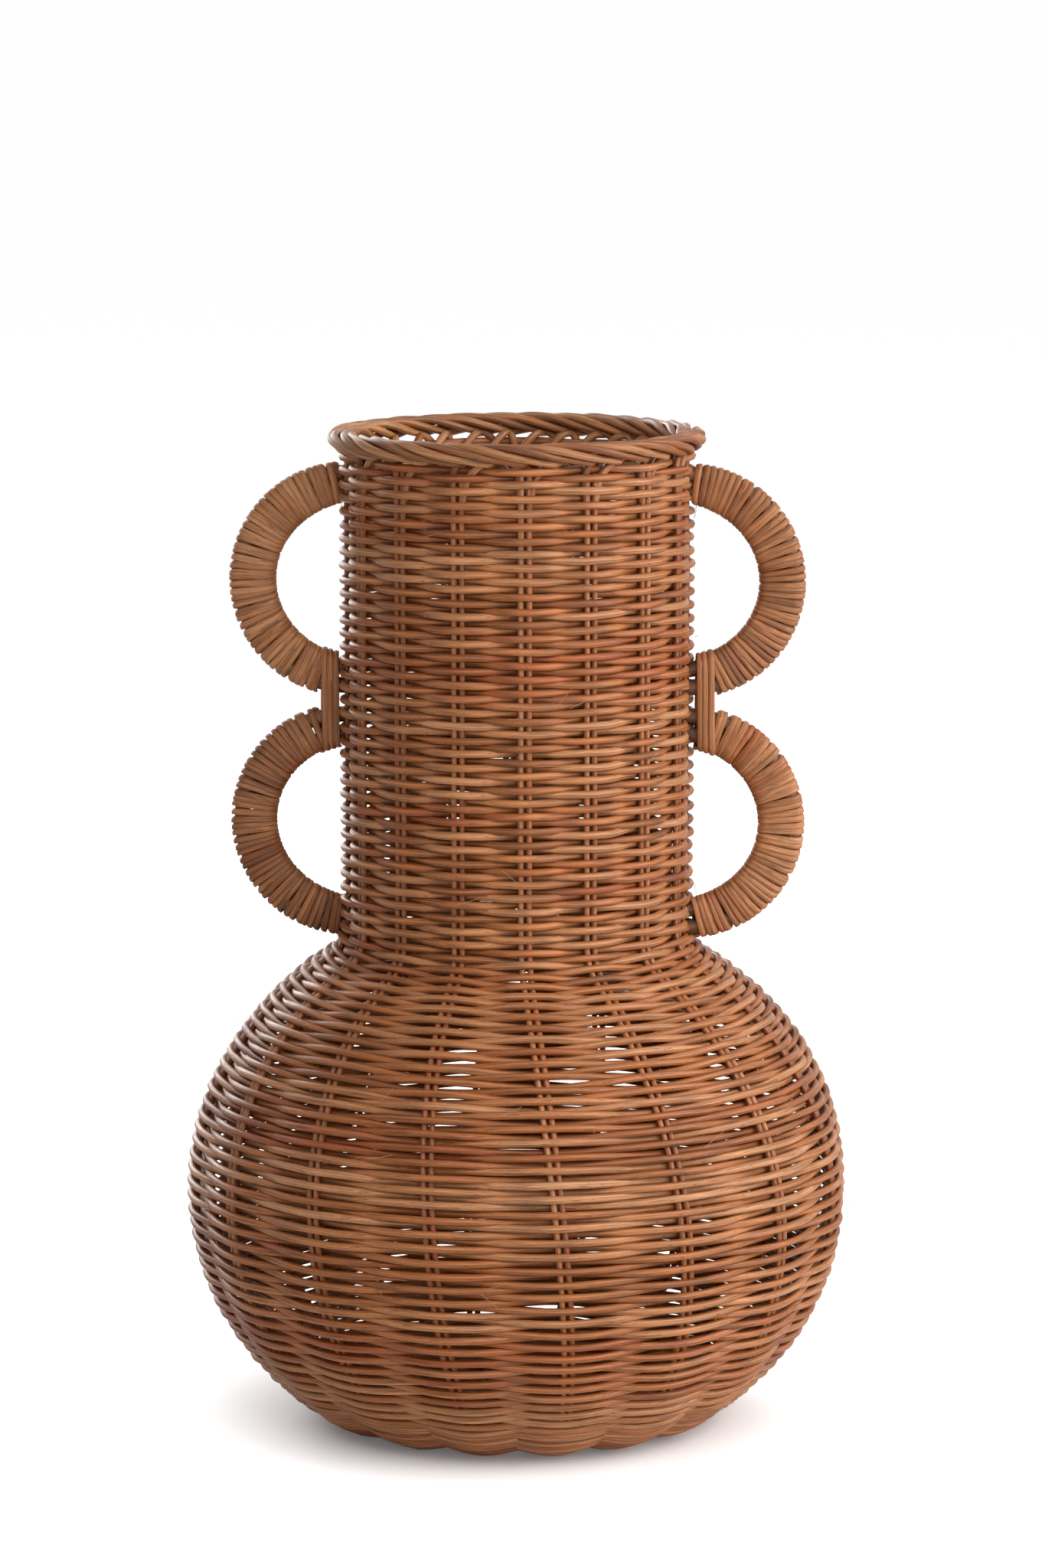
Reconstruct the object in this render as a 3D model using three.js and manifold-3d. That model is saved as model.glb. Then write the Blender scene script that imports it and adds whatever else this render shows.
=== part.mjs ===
// Rattan vase: a round woven body on a flat foot, a straight woven neck under a plaited rim,
// and two wrapped half hoops on each side of the neck.
// Millimetres, +Z up. The origin is the middle of the foot, on the surface that the vase stands on.
// The handles lie along X and the front of the vase faces -Y.

import * as THREE from "three";
import { mergeVertices } from "three/addons/utils/BufferGeometryUtils.js";
import Module from "manifold-3d";

const wasm = await Module();
wasm.setup();

// Body and neck, measured over the weave
const BODY_RADIUS = 147;
const BODY_HALF_HEIGHT = 129.5;
const BODY_CENTRE_HEIGHT = 107;
const NECK_RADIUS = 78;
const FOOT_RADIUS = 83;
const SHOULDER_FILLET = 12;
const FOOT_FILLET = 14;
const FOOT_FLAT = 14;
const FOOT_EDGE = 4;
const FOOT_RISE = 12;

// Weave: rows of round rod that pass in front of one stake and behind the next
const WEAVER_DIAMETER = 2.8;
const BODY_BANDS = 4;
const NECK_BANDS = 2;

// Stakes: upright pairs of thin rods, which lean as they go down the body
const STAKE_COUNT = 16;
const STAKE_WIDTH = 5.6;
const STAKE_THICKNESS = 2.4;
const STAKE_TURN = THREE.MathUtils.degToRad(5.625);
const STAKE_LEAN = THREE.MathUtils.degToRad(9);

// Base: short sticks that cross in two layers, with rows woven round them
const BASE_STICKS_EACH_WAY = 4;
const BASE_STICK_LENGTH = 70;
const BASE_STICK_WIDTH = 5;
const BASE_STICK_THICKNESS = 1.8;
const BASE_STICK_GAP = 0.8;
const BASE_WEAVER_DIAMETER = 1.2;
const BASE_MIDDLE_MARGIN = 2;

// Rim: the stake tops, plaited into a rolled border over a low open lattice
const RIM_WIDTH = 12;
const RIM_HEIGHT = 10.5;
const RIM_OVERHANG = 2.6;
const RIM_SEAT = 6;
const LATTICE_HEIGHT = 4;

// Handles: half hoops of two bent rods, wrapped with a flat strand
const HANDLE_RADIUS = 41.8;
const HANDLE_LIFT = 0.5;
const HANDLE_GAP = 2;
const HANDLE_TO_WEAVE_TOP = 0.5;
const HOOP_ROD_DIAMETER = 7;
const HOOP_SEAT = 3;
const HOOP_CROWN_GAP = 3.6;
const HOOP_END_GAP = 0.6;
const WRAP_TURNS = 21;
const WRAP_THICKNESS = 1.6;
const WRAP_GAP = 0.6;
const WRAP_TO_NECK = 4;
const WRAP_TO_LASHING = 2;
const LASHING_TURNS = 3;
const LASHING_WIDTH = 1.5;
const LASHING_SLACK = 0.6;

// Clearance between pieces that touch, and how finely round shapes are cut
const CLEARANCE = 0.3;
const RING_SEGMENTS = 32;
const RIM_SIDES = 8;
const ROD_SIDES = 6;
const HOOP_STEPS = 14;
const TURN_CORNERS = 8;
const BEND_STEP = THREE.MathUtils.degToRad(16.5);
const SCAN_STEP = 1;
const LEAST_STATION = 5;
const MERGE_DISTANCE = 1e-4;

// Colours of the rattan
const WEAVE_COLOUR = 0x9a6340;
const STAKE_COLOUR = 0x8a5231;
const RIM_COLOUR = 0x986544;
const HOOP_COLOUR = 0x6e4529;
const WRAP_COLOUR = 0x94623f;
const RATTAN_ROUGHNESS = 0.6;

// Sizes that follow from the ones above
const wall = STAKE_THICKNESS + 2 * WEAVER_DIAMETER;
const halfWall = wall / 2;
const baseThickness = 2 * BASE_STICK_THICKNESS + CLEARANCE + 2 * BASE_WEAVER_DIAMETER;
const stickPitch = BASE_STICK_WIDTH + BASE_STICK_GAP;
const crossHalfWidth = (BASE_STICKS_EACH_WAY * stickPitch - BASE_STICK_GAP) / 2;
const rodRadius = HOOP_ROD_DIAMETER / 2;
const outerHoopRadius = HANDLE_RADIUS + (HOOP_ROD_DIAMETER + HOOP_CROWN_GAP) / 2;
const innerHoopEndRadius = outerHoopRadius - HOOP_ROD_DIAMETER - HOOP_END_GAP;
const wrapReach = rodRadius + CLEARANCE + WRAP_THICKNESS / 2;
const handleOuterRadius = outerHoopRadius + wrapReach + WRAP_THICKNESS / 2;
const hoopCentre = NECK_RADIUS - HOOP_SEAT;
const shoulderSlope = Math.sqrt(1 - (NECK_RADIUS / BODY_RADIUS) ** 2);
const shoulderHeight = BODY_CENTRE_HEIGHT + BODY_HALF_HEIGHT * shoulderSlope;
const lowerHandle = shoulderHeight + HANDLE_LIFT + handleOuterRadius;
const upperHandle = lowerHandle + 2 * handleOuterRadius + HANDLE_GAP;
const weaveTop = upperHandle + handleOuterRadius + HANDLE_TO_WEAVE_TOP;
const rimBottom = weaveTop + LATTICE_HEIGHT;
const lashingPitch = LASHING_WIDTH + WRAP_GAP;
const lashingStart = HOOP_SEAT + CLEARANCE + LASHING_WIDTH / 2;
const lashingEnd = lashingStart + LASHING_TURNS * lashingPitch;
const wrapInnerRadius = innerHoopEndRadius - wrapReach;
const wrapNeckAngle = Math.acos((HOOP_SEAT + WRAP_TO_NECK) / wrapInnerRadius);
const wrapLashingAngle = Math.acos((lashingEnd + LASHING_WIDTH / 2 + WRAP_TO_LASHING) / wrapInnerRadius);

// The line down the middle of the wall, as radius and height: out along the base, round the foot, up the
// body, round the shoulder and up the neck into the rim
function makeWallLine() {
  const width = BODY_RADIUS - halfWall;
  const rise = BODY_HALF_HEIGHT - halfWall;
  const drop = (BODY_CENTRE_HEIGHT - halfWall) / Math.sqrt(1 - (FOOT_RADIUS / width) ** 2);
  const neck = NECK_RADIUS - halfWall;
  const start = FOOT_FILLET / width - Math.acos(FOOT_RADIUS / width);
  const end = Math.acos(neck / width) - SHOULDER_FILLET / width;
  const lowerBody = new THREE.EllipseCurve(0, BODY_CENTRE_HEIGHT, width, drop, start, 0);
  const upperBody = new THREE.EllipseCurve(0, BODY_CENTRE_HEIGHT, width, rise, 0, end);
  const foot = new THREE.Vector2(FOOT_RADIUS, halfWall);
  const footCurve = new THREE.Vector2(foot.x - FOOT_FILLET, halfWall);
  const edge = new THREE.Vector2(footCurve.x - FOOT_FLAT, halfWall);
  const shoulderRise = rise * Math.sqrt(1 - (neck / width) ** 2);
  const shoulder = new THREE.Vector2(neck, BODY_CENTRE_HEIGHT + shoulderRise);
  const neckStart = new THREE.Vector2(neck, shoulder.y + SHOULDER_FILLET);
  const top = new THREE.Vector2(neck, rimBottom + RIM_SEAT);
  const line = new THREE.CurvePath();
  line.add(new THREE.LineCurve(edge, footCurve));
  line.add(new THREE.QuadraticBezierCurve(footCurve, foot, lowerBody.getPoint(0)));
  line.add(lowerBody);
  line.add(upperBody);
  line.add(new THREE.QuadraticBezierCurve(upperBody.getPoint(1), shoulder, neckStart));
  line.add(new THREE.LineCurve(neckStart, top));
  return line;
}

// Lengths along the wall line where its parts meet
const wallLine = makeWallLine();
const wallLength = wallLine.getLength();
const [, bodyStart, , , bodyEnd] = wallLine.getCurveLengths();
const footBandEnd = bodyStart + FOOT_RISE;
const weaveEnd = wallLength - LATTICE_HEIGHT - RIM_SEAT;
const footBandRadius = wallAt(0).point.x;

// The wall's middle at a length along it, with its outward direction and its heading
function wallAt(length) {
  const share = THREE.MathUtils.clamp(length / wallLength, 0, 1);
  const tangent = wallLine.getTangent(share);
  return {
    point: wallLine.getPoint(share),
    out: new THREE.Vector2(tangent.y, -tangent.x),
    heading: Math.atan2(tangent.y, tangent.x),
  };
}

// Lengths from one place on the wall to another, with a new one where the flat of the foot ends and wherever
// the wall has turned by BEND_STEP
function stations(from, to) {
  const lengths = from < FOOT_FLAT ? [from, FOOT_FLAT] : [from];
  const start = lengths.at(-1);
  let heading = wallAt(start).heading;
  for (let length = start + LEAST_STATION; length < to - LEAST_STATION; length += SCAN_STEP) {
    const next = wallAt(length).heading;
    if (Math.abs(next - heading) > BEND_STEP) {
      lengths.push(length);
      heading = next;
    }
  }
  lengths.push(to);
  return lengths;
}

// A closed bar: each frame's section lies across and out from its point, and the bar runs from frame to
// frame, along across x out, with a flat cap at each end
function bar(frames) {
  const sides = frames[0].section.length;
  const faces = [];
  for (let ring = 0; ring < frames.length - 1; ring += 1) {
    for (let side = 0; side < sides; side += 1) {
      const here = ring * sides + side;
      const beside = ring * sides + ((side + 1) % sides);
      faces.push(here, beside, beside + sides);
      faces.push(here, beside + sides, here + sides);
    }
  }
  const last = (frames.length - 1) * sides;
  for (let side = 1; side < sides - 1; side += 1) {
    faces.push(0, side + 1, side);
    faces.push(last, last + side, last + side + 1);
  }
  const geometry = new THREE.BufferGeometry().setFromPoints(frames.flatMap(corners));
  geometry.setIndex(faces);
  return geometry;
}

// The corners of a bar's section at one of its frames
function corners({ at, across, out, section }) {
  return section.map(([x, y]) => at.clone().addScaledVector(across, x).addScaledVector(out, y));
}

function rectangle(width, height) {
  const x = width / 2;
  const y = height / 2;
  return [[-x, -y], [x, -y], [x, y], [-x, y]];
}

function polygon(radius, sides) {
  return Array.from({ length: sides }, (_, side) => {
    const angle = (2 * Math.PI * side) / sides;
    return [radius * Math.cos(angle), radius * Math.sin(angle)];
  });
}

// A closed profile of radius and height, turned about the vase's axis
function ring(profile) {
  const geometry = new THREE.LatheGeometry([...profile, profile[0]], RING_SEGMENTS);
  return geometry.rotateX(Math.PI / 2);
}

function toSolid(geometry) {
  const bare = new THREE.BufferGeometry();
  bare.setAttribute("position", geometry.getAttribute("position"));
  bare.setIndex(geometry.getIndex());
  const merged = mergeVertices(bare, MERGE_DISTANCE);
  const vertProperties = Float32Array.from(merged.getAttribute("position").array);
  const triVerts = Uint32Array.from(merged.getIndex().array);
  return new wasm.Manifold(new wasm.Mesh({ numProp: 3, vertProperties, triVerts }));
}

function toGeometry(solid) {
  const { vertProperties, triVerts } = solid.getMesh();
  const geometry = new THREE.BufferGeometry();
  geometry.setAttribute("position", new THREE.BufferAttribute(vertProperties, 3));
  geometry.setIndex(new THREE.BufferAttribute(triVerts, 1));
  return geometry;
}

function joined(geometries) {
  return geometries.map(toSolid).reduce((sum, solid) => sum.add(solid));
}

function piece(name, geometry, color) {
  const material = new THREE.MeshStandardMaterial({
    color,
    roughness: RATTAN_ROUGHNESS,
    metalness: 0,
    flatShading: true,
  });
  const mesh = new THREE.Mesh(geometry, material);
  mesh.name = name;
  return mesh;
}

// A stake's direction round the vase: straight down the neck, leaning down the body, straight under the base
function stakeAngle(index, length) {
  const risen = THREE.MathUtils.clamp((length - bodyStart) / (bodyEnd - bodyStart), 0, 1);
  return STAKE_TURN + STAKE_LEAN * (1 - risen) + (2 * Math.PI * index) / STAKE_COUNT;
}

// One stake, or with a margin the space that it takes in the weave
function stake(index, margin = 0) {
  const section = rectangle(STAKE_WIDTH + 2 * margin, STAKE_THICKNESS + 2 * margin);
  const frames = stations(FOOT_EDGE, wallLength).map((length) => {
    const { point, out } = wallAt(length);
    const angle = stakeAngle(index, length);
    const away = new THREE.Vector3(Math.sin(angle), -Math.cos(angle), 0);
    return {
      at: away.clone().multiplyScalar(point.x).setZ(point.y),
      across: new THREE.Vector3(-Math.cos(angle), -Math.sin(angle), 0),
      out: away.clone().multiplyScalar(out.x).setZ(out.y),
      section,
    };
  });
  frames[0].at.addScaledVector(forward(frames[0]), -margin);
  frames.at(-1).at.addScaledVector(forward(frames.at(-1)), margin);
  return bar(frames);
}

function forward({ across, out }) {
  return across.clone().cross(out);
}

// The tight rows of the foot, which the vase stands on: a ring of even thickness, with a passage for each stake
function footBand(passages) {
  const places = stations(CLEARANCE / 2, footBandEnd - CLEARANCE / 2).map(wallAt);
  const outside = places.map(({ point, out }) => point.clone().addScaledVector(out, halfWall));
  const inside = places.map(({ point, out }) => point.clone().addScaledVector(out, -halfWall));
  const solid = toSolid(ring([...outside, ...inside.reverse()])).subtract(passages);
  return piece("foot_band", toGeometry(solid), WEAVE_COLOUR);
}

// A point of a lot of rows, in front of a stake or behind it. The rows bulge round each stake, and halfway to
// the next one they cross, so the wall is only one row thick there.
function rowPoint(index, length, side) {
  const { point, out } = wallAt(length);
  const depth = side * (index % 2 === 0 ? halfWall : WEAVER_DIAMETER / 2);
  const angle = stakeAngle(index / 2, length);
  const radius = point.x + depth * out.x;
  return new THREE.Vector3(radius * Math.sin(angle), -radius * Math.cos(angle), point.y + depth * out.y);
}

// A closed ring of rows between two lengths along the wall, with a lobe at each stake
function lobedRing(from, to) {
  const around = 2 * STAKE_COUNT;
  const lengths = stations(from, to);
  const outside = lengths.map((length) => ({ length, side: 1 }));
  const inside = lengths.map((length) => ({ length, side: -1 })).reverse();
  const levels = [...outside, ...inside];
  const points = levels.flatMap(({ length, side }) =>
    Array.from({ length: around }, (_, index) => rowPoint(index, length, side)));
  const faces = [];
  for (let level = 0; level < levels.length; level += 1) {
    for (let index = 0; index < around; index += 1) {
      const here = level * around + index;
      const beside = level * around + ((index + 1) % around);
      const above = (here + around) % points.length;
      const aboveBeside = (beside + around) % points.length;
      faces.push(here, beside, aboveBeside);
      faces.push(here, aboveBeside, above);
    }
  }
  const geometry = new THREE.BufferGeometry().setFromPoints(points);
  geometry.setIndex(faces);
  return geometry;
}

// Lots of woven rows from one length along the wall to another, with a passage for each stake
function weaveBands(name, from, to, count, passages) {
  const step = (to - from) / count;
  return Array.from({ length: count }, (_, index) => {
    const start = from + index * step;
    const rows = toSolid(lobedRing(start + CLEARANCE / 2, start + step - CLEARANCE / 2));
    return piece(`${name}_${index + 1}`, toGeometry(rows.subtract(passages)), WEAVE_COLOUR);
  });
}

// The sticks under the base's middle: one layer runs along X and the layer below it along Y
function baseSticks(margin = 0) {
  const long = BASE_STICK_LENGTH + 2 * margin;
  const wide = BASE_STICK_WIDTH + 2 * margin;
  const thick = BASE_STICK_THICKNESS + 2 * margin;
  const rise = (BASE_STICK_THICKNESS + CLEARANCE) / 2;
  return Array.from({ length: BASE_STICKS_EACH_WAY }, (_, index) => {
    const shift = (index - (BASE_STICKS_EACH_WAY - 1) / 2) * stickPitch;
    const upper = new THREE.BoxGeometry(long, wide, thick).translate(0, shift, halfWall + rise);
    const lower = new THREE.BoxGeometry(wide, long, thick).translate(shift, 0, halfWall - rise);
    return [upper, lower];
  }).flat();
}

// The rows woven round the crossed sticks, out to the foot band
function baseWeave(sockets) {
  const inner = crossHalfWidth * Math.SQRT2 + BASE_MIDDLE_MARGIN;
  const outer = footBandRadius - CLEARANCE / 2;
  const low = halfWall - baseThickness / 2;
  const high = halfWall + baseThickness / 2;
  const profile = [[inner, low], [outer, low], [outer, high], [inner, high]];
  const disc = toSolid(ring(profile.map(([x, y]) => new THREE.Vector2(x, y))));
  return piece("base_weave", toGeometry(disc.subtract(sockets)), WEAVE_COLOUR);
}

// The rolled border, with a seat in its underside for the top of each stake
function rimBorder(passages) {
  const profile = Array.from({ length: RIM_SIDES }, (_, side) => {
    const angle = (2 * Math.PI * (side + 0.5)) / RIM_SIDES;
    const x = NECK_RADIUS - halfWall + RIM_OVERHANG + (RIM_WIDTH / 2) * Math.cos(angle);
    return new THREE.Vector2(x, rimBottom + (RIM_HEIGHT / 2) * (1 + Math.sin(angle)));
  });
  return piece("rim_border", toGeometry(toSolid(ring(profile)).subtract(passages)), RIM_COLOUR);
}

// The radius of a handle's inner rod, which closes up to the outer rod towards its ends
function innerHoopRadius(angle) {
  const share = (angle / (Math.PI / 2)) ** 4;
  const gap = THREE.MathUtils.lerp(HOOP_CROWN_GAP, HOOP_END_GAP, share);
  return outerHoopRadius - HOOP_ROD_DIAMETER - gap;
}

// A direction in a handle's plane, away from the middle of its half circle
function hoopDirection(angle) {
  return new THREE.Vector3(Math.cos(angle), 0, Math.sin(angle));
}

// One rod of a handle on the +X side, or with a margin the socket that it takes in the neck
function hoopRod(height, radiusAt, margin = 0) {
  const section = polygon(rodRadius + margin, ROD_SIDES);
  const frames = Array.from({ length: HOOP_STEPS + 1 }, (_, step) => {
    const angle = Math.PI * (step / HOOP_STEPS - 0.5);
    const out = hoopDirection(angle);
    const at = out.clone().multiplyScalar(radiusAt(angle));
    at.add(new THREE.Vector3(hoopCentre, 0, height));
    return { at, across: out, out: new THREE.Vector3(0, 1, 0), section };
  });
  frames[0].at.x -= margin;
  frames.at(-1).at.x -= margin;
  return bar(frames);
}

// The frames of one unbroken flat strand wound round a pair of rods. Each place has the middle between the
// rods, the direction from it to one rod, the direction of winding, the reach to a rod's middle and the
// strand's width beside a point that far from the middle.
function windingFrames(turns, placeAt) {
  const front = new THREE.Vector3(0, 1, 0);
  const mitre = 1 / Math.cos(Math.PI / TURN_CORNERS);
  const frameAt = (turn, angle, end, stretch) => {
    const { middle, side, along, reach, widthAt } = placeAt(turn);
    const sideways = end * reach + wrapReach * stretch * Math.cos(angle);
    const at = middle.clone().addScaledVector(side, sideways);
    at.addScaledVector(front, wrapReach * stretch * Math.sin(angle));
    const out = side.clone().multiplyScalar(Math.cos(angle)).addScaledVector(front, Math.sin(angle));
    return { at, across: along, out, section: rectangle(widthAt(sideways), WRAP_THICKNESS * stretch) };
  };
  const frames = [frameAt(0, Math.PI / 2, 1, 1)];
  for (let turn = 0; turn < turns; turn += 1) {
    for (let corner = 0; corner < TURN_CORNERS; corner += 1) {
      const share = (corner + 0.5) / TURN_CORNERS;
      const angle = Math.PI / 2 + 2 * Math.PI * share;
      frames.push(frameAt(turn + share, angle, Math.sign(Math.cos(angle)), mitre));
    }
  }
  frames.push(frameAt(turns, Math.PI / 2, 0, 1));
  return frames;
}

// The least distance between the turns of a winding, measured between the corners of its frames
function leastGap(frames) {
  const rings = frames.map(corners);
  let least = Infinity;
  rings.forEach((ringHere, index) => {
    const others = rings.slice(index + TURN_CORNERS / 2).flat();
    ringHere.forEach((point) => others.forEach((other) => {
      least = Math.min(least, point.distanceTo(other));
    }));
  });
  return least;
}

function winding(name, frames) {
  console.log(`${name}: least gap between turns ${leastGap(frames).toFixed(2)} mm`);
  return piece(name, bar(frames), WRAP_COLOUR);
}

// The strand round a handle's two rods, from its lower end to its upper end
function handleWrap(name, height, lowAngle, highAngle) {
  const turnAngle = (highAngle - lowAngle) / WRAP_TURNS;
  const placeAt = (turn) => {
    const angle = lowAngle + turn * turnAngle;
    const side = hoopDirection(angle);
    const middleRadius = (outerHoopRadius + innerHoopRadius(angle)) / 2;
    const middle = side.clone().multiplyScalar(middleRadius);
    return {
      middle: middle.add(new THREE.Vector3(hoopCentre, 0, height)),
      side,
      along: hoopDirection(angle + Math.PI / 2),
      reach: outerHoopRadius - middleRadius,
      widthAt: (sideways) => (middleRadius + sideways) * turnAngle - WRAP_GAP,
    };
  };
  return winding(name, windingFrames(WRAP_TURNS, placeAt));
}

// The strand that ties the near ends of a side's two handles together, next to the neck
function lashing(name) {
  const placeAt = (turn) => {
    const away = lashingStart + turn * lashingPitch;
    const angle = Math.acos(away / innerHoopEndRadius);
    return {
      middle: new THREE.Vector3(hoopCentre + away, 0, (lowerHandle + upperHandle) / 2),
      side: new THREE.Vector3(0, 0, -1),
      along: new THREE.Vector3(1, 0, 0),
      reach: (upperHandle - lowerHandle) / 2 - innerHoopRadius(angle) * Math.sin(angle) + LASHING_SLACK,
      widthAt: () => LASHING_WIDTH,
    };
  };
  return winding(name, windingFrames(LASHING_TURNS, placeAt));
}

// The rods of both handles on the +X side, or with a margin their sockets
function hoopRods(margin = 0) {
  return [lowerHandle, upperHandle].flatMap((height) => [
    hoopRod(height, () => outerHoopRadius, margin),
    hoopRod(height, innerHoopRadius, margin),
  ]);
}

// One side's two handles, their wraps and the lashing between them, turned to their side of the neck
function handlePair(side, turn) {
  const group = new THREE.Group();
  const rodNames = ["lower_outer", "lower_inner", "upper_outer", "upper_inner"];
  hoopRods().forEach((geometry, index) => {
    group.add(piece(`hoop_${rodNames[index]}_${side}`, geometry, HOOP_COLOUR));
  });
  group.add(handleWrap(`wrap_lower_${side}`, lowerHandle, -wrapNeckAngle, wrapLashingAngle));
  group.add(handleWrap(`wrap_upper_${side}`, upperHandle, -wrapLashingAngle, wrapNeckAngle));
  group.add(lashing(`lashing_${side}`));
  group.rotation.z = turn;
  return group;
}

// The vase
function vase() {
  const indices = Array.from({ length: STAKE_COUNT }, (_, index) => index);
  const stakeSpace = joined(indices.map((index) => stake(index, CLEARANCE)));
  const rightSockets = joined(hoopRods(CLEARANCE));
  const leftSockets = rightSockets.rotate([0, 0, 180]);
  const passages = stakeSpace.add(rightSockets).add(leftSockets);
  const group = new THREE.Group();
  baseSticks().forEach((geometry, index) => {
    group.add(piece(`base_stick_${index + 1}`, geometry, STAKE_COLOUR));
  });
  group.add(baseWeave(joined(baseSticks(CLEARANCE))));
  group.add(footBand(passages));
  group.add(...weaveBands("body_weave", footBandEnd, bodyEnd, BODY_BANDS, passages));
  group.add(...weaveBands("neck_weave", bodyEnd, weaveEnd, NECK_BANDS, passages));
  indices.forEach((index) => {
    group.add(piece(`stake_${String(index + 1).padStart(2, "0")}`, stake(index), STAKE_COLOUR));
  });
  group.add(rimBorder(stakeSpace));
  group.add(handlePair("right", 0));
  group.add(handlePair("left", Math.PI));
  return group;
}

export default vase();
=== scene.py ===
"""Looks of a woven rattan vase: rows, stakes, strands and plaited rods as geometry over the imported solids.

Metres, +Z up, front towards -Y, handles along X.
Angles round the vase start at the front and grow towards +X.
"""

import logging
import math
from dataclasses import dataclass, replace
from enum import Enum, auto
from typing import Any, Mapping, Sequence

import bpy
import numpy as np
from mathutils import Matrix, Vector


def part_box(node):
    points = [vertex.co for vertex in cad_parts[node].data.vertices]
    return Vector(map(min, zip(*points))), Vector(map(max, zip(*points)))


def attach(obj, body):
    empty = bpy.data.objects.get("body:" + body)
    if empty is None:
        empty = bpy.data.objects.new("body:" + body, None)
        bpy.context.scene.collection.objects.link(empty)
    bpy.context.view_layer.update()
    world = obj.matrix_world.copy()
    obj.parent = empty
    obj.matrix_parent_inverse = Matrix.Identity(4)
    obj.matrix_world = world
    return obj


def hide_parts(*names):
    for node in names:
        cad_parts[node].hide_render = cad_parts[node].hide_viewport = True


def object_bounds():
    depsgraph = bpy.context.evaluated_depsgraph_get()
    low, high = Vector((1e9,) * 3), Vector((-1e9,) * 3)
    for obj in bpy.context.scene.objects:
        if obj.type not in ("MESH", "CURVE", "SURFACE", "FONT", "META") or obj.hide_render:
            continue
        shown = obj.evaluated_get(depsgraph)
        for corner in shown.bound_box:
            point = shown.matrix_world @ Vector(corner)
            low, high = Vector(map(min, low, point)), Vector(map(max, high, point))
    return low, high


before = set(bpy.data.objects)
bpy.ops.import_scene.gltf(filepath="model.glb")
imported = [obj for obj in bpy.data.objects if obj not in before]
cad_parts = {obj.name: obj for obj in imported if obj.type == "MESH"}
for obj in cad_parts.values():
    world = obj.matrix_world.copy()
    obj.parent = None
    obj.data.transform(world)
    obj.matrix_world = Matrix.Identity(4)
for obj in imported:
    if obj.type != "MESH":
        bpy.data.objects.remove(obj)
cad_low, cad_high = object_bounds()

MM = 0.001
BODY = "root"
log = logging.getLogger("rattan_vase")

# Blender's names for the nodes that are used most
NOISE = "ShaderNodeTexNoise"
RANGE = "ShaderNodeMapRange"
JOIN = "ShaderNodeCombineXYZ"
SPLIT = "ShaderNodeSeparateXYZ"
MIX = "ShaderNodeMix"
ATTRIBUTE = "ShaderNodeAttribute"
LIGHT_PATH = "ShaderNodeLightPath"
POSITION = "GeometryNodeInputPosition"
STORE = "GeometryNodeStoreNamedAttribute"
MOVE = "GeometryNodeSetPosition"
COPY = "GeometryNodeDuplicateElements"
CIRCLE = "GeometryNodeCurvePrimitiveCircle"
RESAMPLE = "GeometryNodeResampleCurve"
TO_CURVE = "GeometryNodeMeshToCurve"
ALONG = "GeometryNodeSplineParameter"
STRAND = "GeometryNodeCurveOfPoint"

# Numbers of the sockets that take a Mix node's two colours and a Random Value node's two limits
FIRST_COLOUR = 6
SECOND_COLOUR = 7
LEAST = 2
MOST = 3

# What goes into a Noise node after its place: no W, then its scale, detail and roughness
SMOOTH = (None, 1.0, 1.0, 0.5)
ROUGH = (None, 1.0, 2.0, 0.6)

# The middle of numbers from 0 to 1, such as noise, random values and the two places in a pair
MIDDLE = 0.5

# Inputs that every tree has for the skin of its rods, and inputs that place the stakes
SKIN_COUNTS = ("Sides", "First", "Seed")
SKIN_NUMBERS = ("Radius", "Flatness", "Ridges", "Swell", "Tone", "Spread", "Drift")
STAKE_NUMBERS = ("Turn", "Lean", "Lean Start", "Lean End")


class Sum(Enum):
    """Sums that a Math node does."""

    ADD = auto()
    SUBTRACT = auto()
    MULTIPLY = auto()
    DIVIDE = auto()
    MULTIPLY_ADD = auto()
    MAXIMUM = auto()
    MODULO = auto()
    FLOOR = auto()
    ABSOLUTE = auto()
    SINE = auto()
    COSINE = auto()
    ARCTAN2 = auto()


class Arrow(Enum):
    """Sums that a Vector Math node does."""

    ADD = auto()
    SUBTRACT = auto()
    SCALE = auto()
    CROSS_PRODUCT = auto()
    NORMALIZE = auto()
    LENGTH = auto()


SUM_NODES = {Sum: "ShaderNodeMath", Arrow: "ShaderNodeVectorMath"}


class Socket(Enum):
    """Kinds of input that a node tree can have."""

    NUMBER = "NodeSocketFloat"
    COUNT = "NodeSocketInt"
    SHAPE = "NodeSocketGeometry"
    FINISH = "NodeSocketMaterial"


class Slot(Enum):
    """Material slots, with a finish for each."""

    WEAVE = "weave_rattan"
    STAKE = "stake_cane"
    RIM = "rim_rattan"
    HOOP = "hoop_cane"
    WRAP = "wrap_cane"


class Side(Enum):
    """The two sides of the neck, with the turn that takes the right side's handles there."""

    right = 0.0
    left = math.pi


class Level(Enum):
    """The two handles on one side of the neck."""

    lower = auto()
    upper = auto()


def linear(colour: str) -> tuple[float, float, float, float]:
    """Turns an sRGB hex colour to linear light.

    Args:
        colour: six hex digits after a hash sign.

    Returns:
        Red, green, blue and an alpha of 1.
    """
    parts = [int(colour[at:at + 2], 16) / 255 for at in (1, 3, 5)]
    red, green, blue = (c / 12.92 if c <= 0.04045 else ((c + 0.055) / 1.055) ** 2.4 for c in parts)
    return red, green, blue, 1.0


def centre(node: str) -> Vector:
    """The middle of a solid's box."""
    low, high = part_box(node)
    return (low + high) / 2


def new_object(name: str, data: bpy.types.ID) -> bpy.types.Object:
    """Adds an object to the scene.

    Args:
        name: its name.
        data: its mesh, lamp or camera.

    Returns:
        The object.
    """
    thing = bpy.data.objects.new(name, data)
    bpy.context.scene.collection.objects.link(thing)
    return thing


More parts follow.
